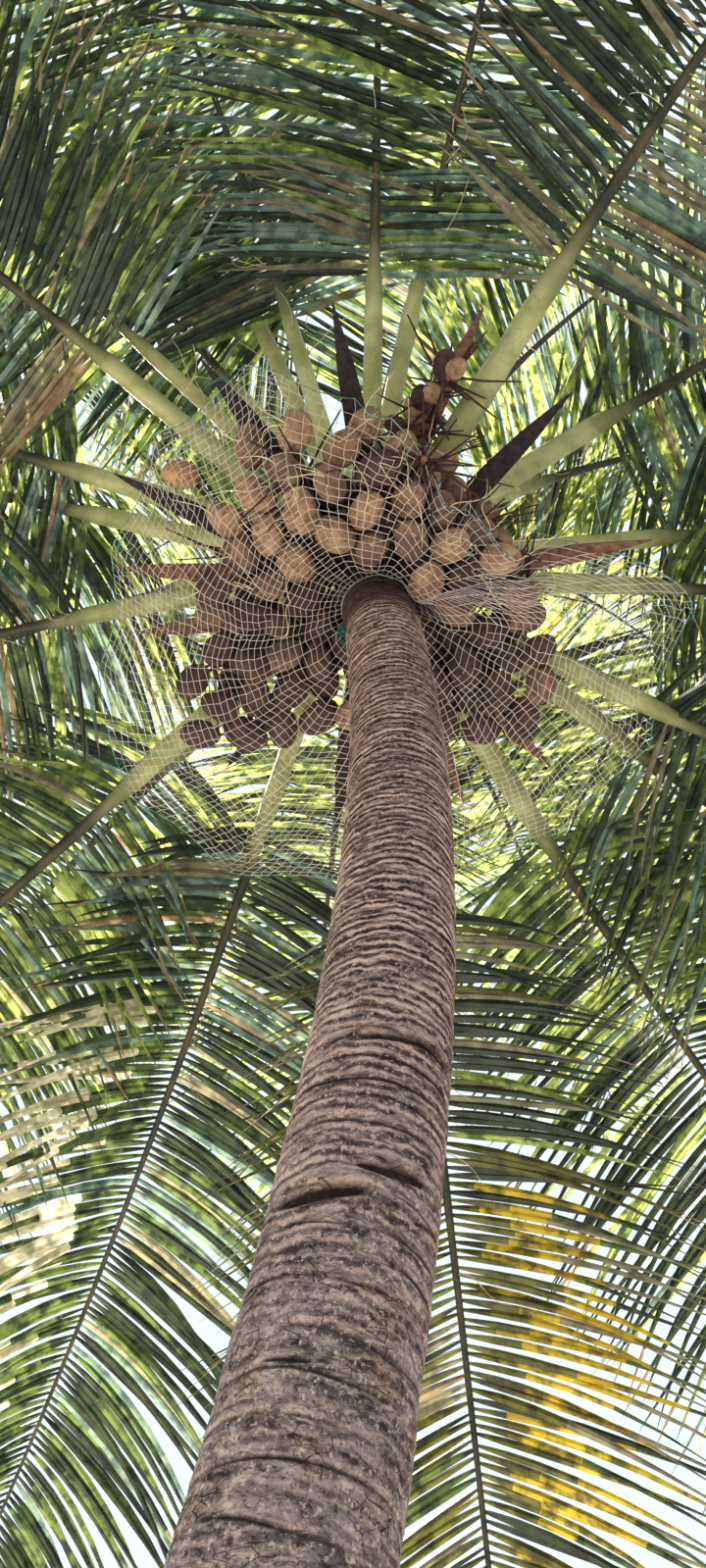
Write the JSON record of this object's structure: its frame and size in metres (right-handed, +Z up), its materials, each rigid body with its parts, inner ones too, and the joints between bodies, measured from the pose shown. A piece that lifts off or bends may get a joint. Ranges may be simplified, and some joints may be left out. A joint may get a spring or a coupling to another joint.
{
  "type": "coconut palm tree",
  "caption": "Coconut palm: a leaning, ring-scarred trunk with a full crown of feather fronds, bunches of nuts and a net slung under them.",
  "frame": {"origin": "middle of the trunk's flat cut at ground level", "axes": "+Z up, +X the way the trunk leans, +Y away from the side the picture was taken from"},
  "size_m": [10.6246, 10.1366, 10.1597],
  "materials": {
    "trunk_wood": "rough fibrous bark with ring scars",
    "frond_green": "waxy leaf",
    "nut_husk": "matt dry husk",
    "net_cord": "dull twisted twine"
  },
  "bodies": {
    "root": {"bunch_1": "nut_husk", "bunch_2": "nut_husk", "bunch_3": "nut_husk", "bunch_4": "nut_husk", "bunch_5": "nut_husk", "bunch_6": "nut_husk", "bunch_7": "nut_husk", "bunch_8": "nut_husk", "frond_01": "frond_green", "frond_02": "frond_green", "frond_03": "frond_green", "frond_04": "frond_green", "frond_05": "frond_green", "frond_06": "frond_green", "frond_07": "frond_green", "frond_08": "frond_green", "frond_09": "frond_green", "frond_10": "frond_green", "frond_11": "frond_green", "frond_12": "frond_green", "frond_13": "frond_green", "frond_13_tip": "frond_green", "frond_14": "frond_green", "frond_15": "frond_green", "frond_16": "frond_green", "frond_17": "frond_green", "frond_17_tip": "frond_green", "frond_18": "frond_green", "frond_18_tip": "frond_green", "frond_19": "frond_green", "frond_20": "frond_green", "frond_20_tip": "frond_green", "frond_21": "frond_green", "frond_21_tip": "frond_green", "frond_22": "frond_green", "frond_22_tip": "frond_green", "frond_23": "frond_green", "frond_24": "frond_green", "frond_25": "frond_green", "frond_25_tip": "frond_green", "frond_26": "frond_green", "frond_27": "frond_green", "frond_28": "frond_green", "frond_28_tip": "frond_green", "frond_29": "frond_green", "frond_29_tip": "frond_green", "frond_30": "frond_green", "frond_30_tip": "frond_green", "frond_31": "frond_green", "frond_32": "frond_green", "net_panel_1": "net_cord", "net_panel_2": "net_cord", "net_panel_3": "net_cord", "net_panel_4": "net_cord", "spear": "frond_green", "trunk": "trunk_wood"}
  },
  "joints": []
}
